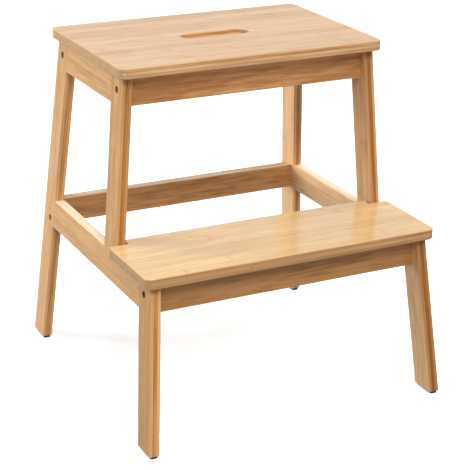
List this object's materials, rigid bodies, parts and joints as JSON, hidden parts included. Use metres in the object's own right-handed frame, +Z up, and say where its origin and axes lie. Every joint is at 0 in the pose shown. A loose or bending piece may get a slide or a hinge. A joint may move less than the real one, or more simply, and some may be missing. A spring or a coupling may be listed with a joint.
{
  "type": "step stool",
  "caption": "Wooden step stool with a broad top board with a hand slot, a lower front tread, splayed legs in flat side frames, and cross rails.",
  "frame": {"origin": "on the floor, midway between the outermost points of the legs in x and in y", "axes": "+X to the right as seen from the front, -Y to the front, where the lower tread is, and +Z up"},
  "size_m": [0.4638, 0.4642, 0.5],
  "materials": {
    "board_bamboo": "satin lacquered laminated bamboo",
    "frame_bamboo": "satin lacquered laminated bamboo",
    "dowel_wood": "plain, fluted",
    "bolt_steel": "black oxide",
    "screw_steel": "zinc plated",
    "insert_brass": "plain",
    "foot_rubber": "matt"
  },
  "bodies": {
    "root": {"top_board": "board_bamboo", "step_board": "board_bamboo", "left_rear_leg": "frame_bamboo", "right_rear_leg": "frame_bamboo", "left_upper_front_leg": "frame_bamboo", "right_upper_front_leg": "frame_bamboo", "left_lower_front_leg": "frame_bamboo", "right_lower_front_leg": "frame_bamboo", "left_side_apron": "frame_bamboo", "right_side_apron": "frame_bamboo", "left_side_rail": "frame_bamboo", "right_side_rail": "frame_bamboo", "front_apron": "frame_bamboo", "back_apron": "frame_bamboo", "step_apron": "frame_bamboo", "rear_stretcher": "frame_bamboo", "left_rear_foot": "foot_rubber", "right_rear_foot": "foot_rubber", "left_front_foot": "foot_rubber", "right_front_foot": "foot_rubber", "left_frame_bolts": "bolt_steel", "left_threaded_inserts": "insert_brass", "left_frame_dowels": "dowel_wood", "left_rail_dowels": "dowel_wood", "right_frame_bolts": "bolt_steel", "right_threaded_inserts": "insert_brass", "right_frame_dowels": "dowel_wood", "right_rail_dowels": "dowel_wood", "top_board_screws": "screw_steel", "step_board_screws": "screw_steel"}
  },
  "joints": []
}
